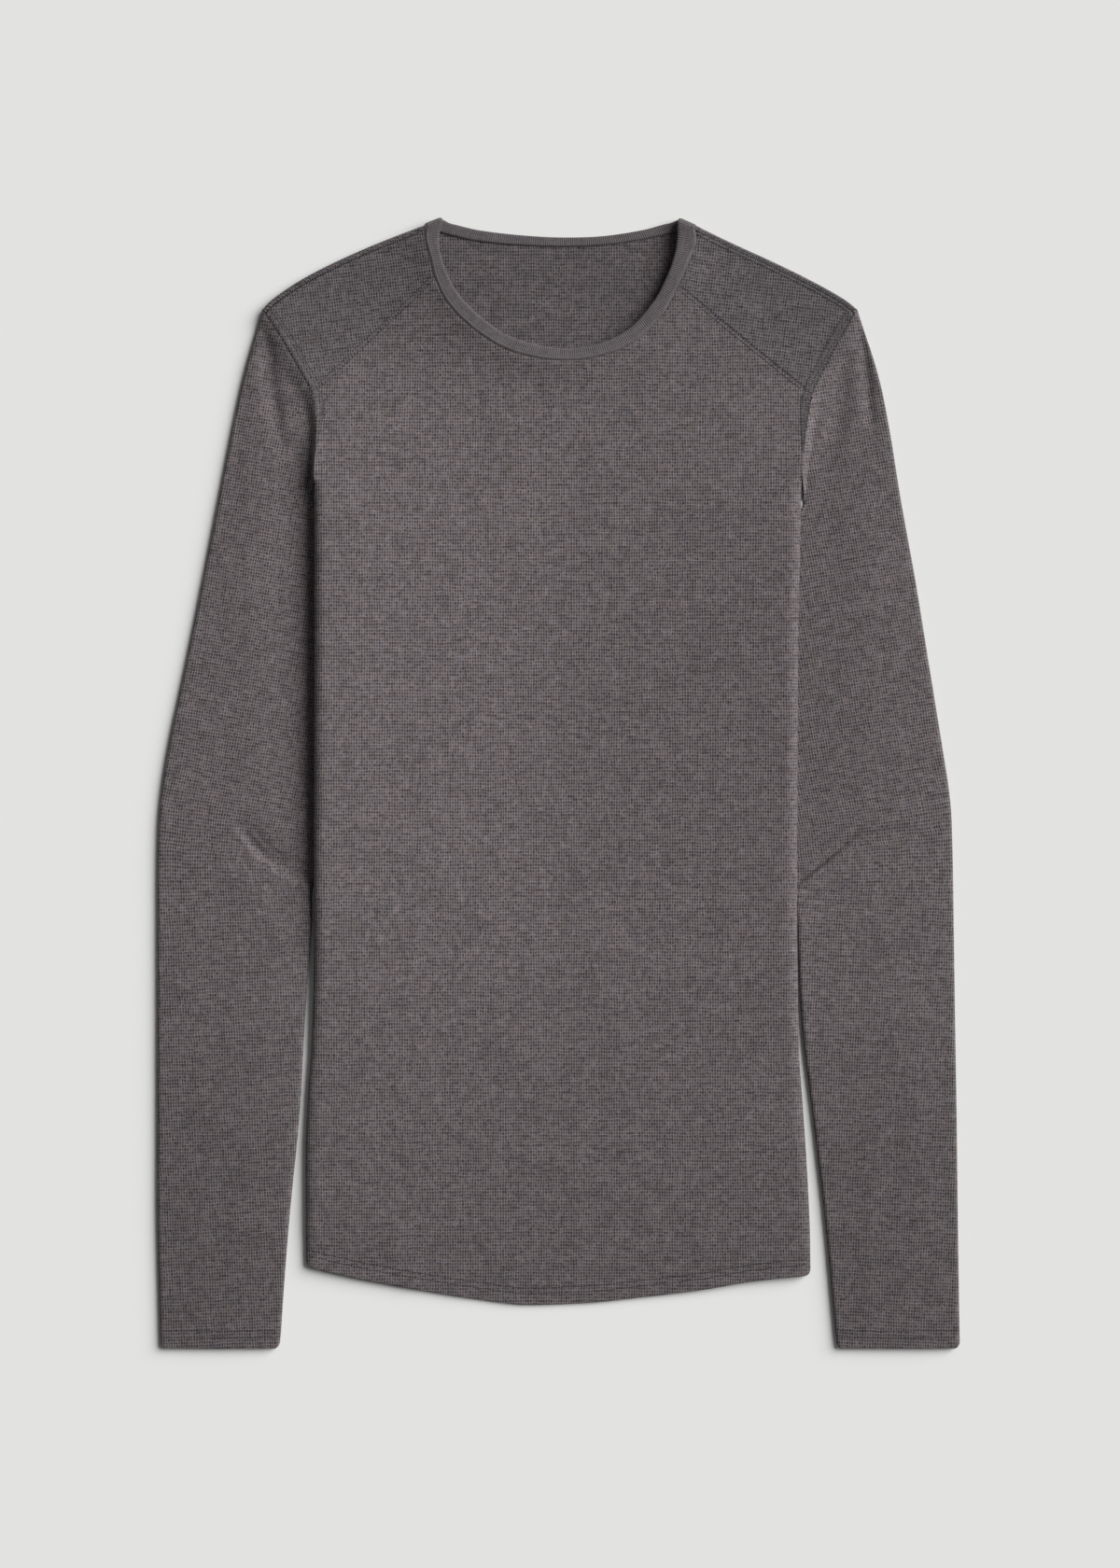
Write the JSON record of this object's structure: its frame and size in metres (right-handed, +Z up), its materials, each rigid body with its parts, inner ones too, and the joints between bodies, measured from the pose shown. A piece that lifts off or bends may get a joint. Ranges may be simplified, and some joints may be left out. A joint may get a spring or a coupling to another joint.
{
  "type": "thermal top",
  "caption": "Long-sleeved crew-neck thermal top in waffle knit, laid flat face up with its sleeves beside the body, slanting front yokes, curved hem and a narrow ribbed neck binding.",
  "frame": {"origin": "centre of the laid top's bounding box, on the surface that it lies on", "axes": "+Z up from the surface, +Y towards the neck, +X towards the wearer's left sleeve"},
  "size_m": [0.5413, 0.7629, 0.0094],
  "materials": {
    "waffle_knit": "heathered charcoal waffle knit, matte",
    "yoke_knit": "heathered charcoal waffle knit, matte",
    "rib_knit": "charcoal fine rib, matte"
  },
  "bodies": {
    "root": {"front_panel": "waffle_knit", "back_panel": "waffle_knit", "shoulder_panel_right": "yoke_knit", "shoulder_panel_left": "yoke_knit", "sleeve_right": "waffle_knit", "sleeve_left": "waffle_knit", "neck_binding": "rib_knit"}
  },
  "joints": []
}
